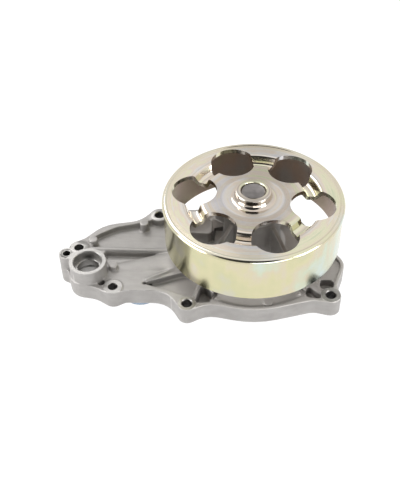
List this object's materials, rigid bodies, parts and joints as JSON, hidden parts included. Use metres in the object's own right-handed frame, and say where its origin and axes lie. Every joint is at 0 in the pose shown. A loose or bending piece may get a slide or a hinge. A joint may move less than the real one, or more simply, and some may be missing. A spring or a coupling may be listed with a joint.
{
  "type": "water pump",
  "caption": "Engine coolant pump: cast housing with an arm and bolted flange, a smooth belt pulley on a sealed bearing shaft, and a vaned impeller behind a spring-loaded face seal.",
  "frame": {"origin": "on the shaft axis, in the plane of the engine face", "axes": "+Z along the shaft from the engine to the pulley; the housing's arm reaches out to -X"},
  "size_m": [0.1917, 0.1222, 0.0827],
  "materials": {
    "cast_aluminium": "satin as-cast, machined faces",
    "yellow_zinc": "bright yellow passivated zinc",
    "ground_steel": "ground",
    "bearing_steel": "polished",
    "cage_polymer": "moulded",
    "black_rubber": "matt",
    "blue_zinc": "blue passivated zinc",
    "pressed_steel": "pressed sheet",
    "seal_casing_steel": "pressed stainless sheet",
    "spring_steel": "drawn wire",
    "seal_carbon": "lapped",
    "seal_ceramic": "lapped",
    "moulded_rubber": "matt"
  },
  "bodies": {
    "housing": {"pump_housing": "cast_aluminium", "bearing_outer_ring": "bearing_steel", "front_bearing_seal": "black_rubber", "rear_bearing_seal": "black_rubber", "seal_casing": "seal_casing_steel", "seal_bellows": "black_rubber", "seal_spring": "spring_steel", "transfer_sleeve": "blue_zinc", "sleeve_oring": "black_rubber", "body_seal": "moulded_rubber"},
    "rotor": {"pulley": "yellow_zinc", "pump_shaft": "ground_steel", "slinger": "pressed_steel", "mating_ring": "seal_ceramic", "seat_boot": "black_rubber", "impeller": "pressed_steel", "impeller_hub": "ground_steel"},
    "front_row": {"front_cage": "cage_polymer", "front_ball_1": "bearing_steel", "front_ball_2": "bearing_steel", "front_ball_3": "bearing_steel", "front_ball_4": "bearing_steel", "front_ball_5": "bearing_steel", "front_ball_6": "bearing_steel", "front_ball_7": "bearing_steel"},
    "rear_row": {"rear_cage": "cage_polymer", "rear_ball_1": "bearing_steel", "rear_ball_2": "bearing_steel", "rear_ball_3": "bearing_steel", "rear_ball_4": "bearing_steel", "rear_ball_5": "bearing_steel", "rear_ball_6": "bearing_steel", "rear_ball_7": "bearing_steel"},
    "seal_face": {"seal_ring": "seal_carbon"}
  },
  "joints": [
    {"name": "shaft_spin", "type": "hinge", "parent": "housing", "child": "rotor", "pos_m": [0, 0, 0], "axis": [0, 0, 1], "continuous": true},
    {"name": "front_row_orbit", "type": "hinge", "parent": "housing", "child": "front_row", "pos_m": [0, 0, 0.0387], "axis": [0, 0, 1], "continuous": true},
    {"name": "rear_row_orbit", "type": "hinge", "parent": "housing", "child": "rear_row", "pos_m": [0, 0, 0.0205], "axis": [0, 0, 1], "continuous": true},
    {"name": "seal_ring_float", "type": "slide", "parent": "housing", "child": "seal_face", "axis": [0, 0, 1], "range_m": [0, 0.001], "stiffness_N_per_m": 4000, "springref_m": -0.002, "deforming": ["seal_spring", "seal_bellows"]}
  ],
  "couplings": [
    {"joint": "front_row_orbit", "follows": "shaft_spin", "ratio": 0.3665},
    {"joint": "rear_row_orbit", "follows": "shaft_spin", "ratio": 0.3665}
  ]
}
